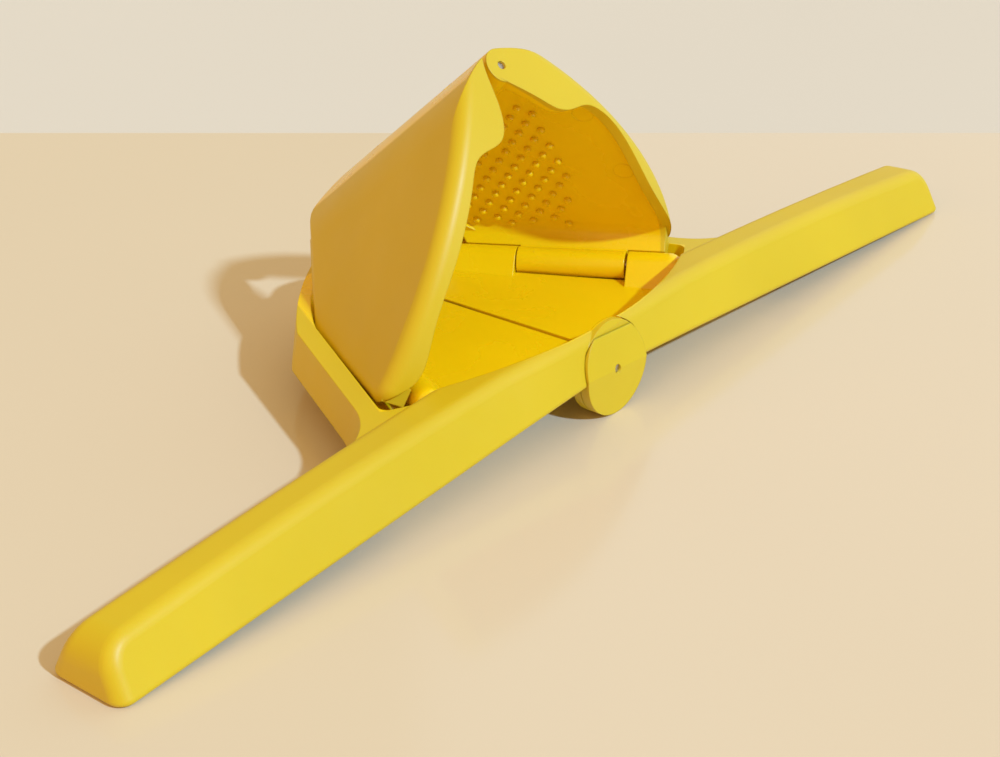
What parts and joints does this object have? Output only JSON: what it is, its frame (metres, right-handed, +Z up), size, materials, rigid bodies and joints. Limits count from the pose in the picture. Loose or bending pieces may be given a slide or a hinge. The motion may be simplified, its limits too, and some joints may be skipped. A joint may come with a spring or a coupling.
{
  "type": "hinged lemon squeezer",
  "caption": "Fold-flat hand citrus press: two long handles carry tray halves, and two hinged studded press panels close over a halved lemon.",
  "frame": {"origin": "on the table, in the middle of the fully open press's footprint, below the middle of the main hinge axis", "axes": "+X along the right handle, +Y to the back along the main hinge axis, +Z up"},
  "size_m": [0.3608, 0.1002, 0.0945],
  "materials": {
    "yellow_nylon": "satin moulded nylon, fine matte outside, smoother inside the tray",
    "stainless_pin": "plain drawn stainless pin"
  },
  "bodies": {
    "left_handle": {"left_handle": "yellow_nylon", "front_main_hinge_pin": "stainless_pin", "back_main_hinge_pin": "stainless_pin", "left_panel_hinge_pin": "stainless_pin"},
    "right_handle": {"right_handle": "yellow_nylon", "right_panel_hinge_pin": "stainless_pin"},
    "left_panel": {"left_press_panel": "yellow_nylon", "ridge_pin_in_left_panel": "stainless_pin"},
    "right_panel": {"right_press_panel": "yellow_nylon", "ridge_pin_in_right_panel": "stainless_pin"}
  },
  "joints": [
    {"name": "main_fold", "type": "hinge", "parent": "left_handle", "child": "right_handle", "pos_m": [0, 0, 0.01325], "axis": [0, 1, 0], "range_deg": [0, 171.3]},
    {"name": "left_panel_fold", "type": "hinge", "parent": "left_handle", "child": "left_panel", "pos_m": [-0.04086, -0.00273, 0.01702], "axis": [-0.457, -0.8885, 0.0422], "range_deg": [-62.45, 0]},
    {"name": "right_panel_fold", "type": "hinge", "parent": "right_handle", "child": "right_panel", "pos_m": [0.04086, -0.00273, 0.01702], "axis": [0.457, -0.8885, 0.0422], "range_deg": [0, 62.45]}
  ],
  "couplings": [
    {"joint": "left_panel_fold", "follows": "main_fold", "ratio": -0.3644},
    {"joint": "right_panel_fold", "follows": "main_fold", "ratio": 0.3644}
  ]
}
